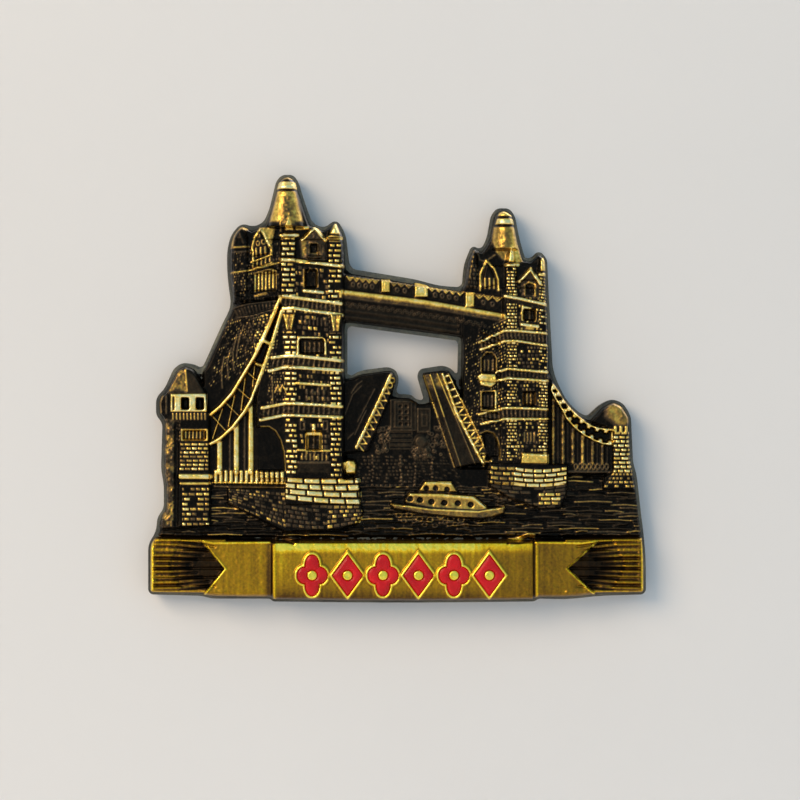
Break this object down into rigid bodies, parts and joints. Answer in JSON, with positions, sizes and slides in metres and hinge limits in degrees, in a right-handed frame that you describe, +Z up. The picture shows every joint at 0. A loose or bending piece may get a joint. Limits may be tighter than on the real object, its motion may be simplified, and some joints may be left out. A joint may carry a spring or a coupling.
{
  "type": "relief souvenir magnet",
  "caption": "Antique-brass relief magnet of a river bridge with tall stone towers, a high walkway and raised leaves, above a ribbon banner with red enamel ornaments.",
  "frame": {"origin": "on the contact plane (the back faces of the magnets), halfway between the two magnets' centres", "axes": "+X along the bridge to the viewer's right, +Y out of the back, towards what the magnet sticks to, so the relief faces -Y, +Z up"},
  "size_m": [0.07, 0.0074, 0.0602],
  "materials": {
    "cast_metal": "antique brass plating on zinc alloy, dark oxide in the recesses, rubbed bright on the high points",
    "ribbon_metal": "antique brass plating, brushed bright along the flat ribbon",
    "red_enamel": "glossy red soft enamel, slightly domed",
    "ferrite": "matt sintered ferrite, dark grey",
    "glue": "clear two-part adhesive, slightly yellow"
  },
  "bodies": {
    "root": {"adhesive_left": "glue", "adhesive_right": "glue", "cast_back_plate": "cast_metal", "cast_boat": "cast_metal", "cast_left_gatehouse": "cast_metal", "cast_left_leaf": "cast_metal", "cast_left_pier": "cast_metal", "cast_left_span": "cast_metal", "cast_left_tower": "cast_metal", "cast_right_gatehouse": "cast_metal", "cast_right_leaf": "cast_metal", "cast_right_pier": "cast_metal", "cast_right_span": "cast_metal", "cast_right_tower": "cast_metal", "cast_river": "cast_metal", "cast_skyline": "cast_metal", "cast_walkway": "cast_metal", "enamel_inlay_1": "red_enamel", "enamel_inlay_2": "red_enamel", "enamel_inlay_3": "red_enamel", "enamel_inlay_4": "red_enamel", "enamel_inlay_5": "red_enamel", "enamel_inlay_6": "red_enamel", "magnet_left": "ferrite", "magnet_right": "ferrite", "ribbon_fold_left": "ribbon_metal", "ribbon_fold_right": "ribbon_metal", "ribbon_panel": "ribbon_metal", "ribbon_tail_left": "ribbon_metal", "ribbon_tail_right": "ribbon_metal"}
  },
  "joints": []
}
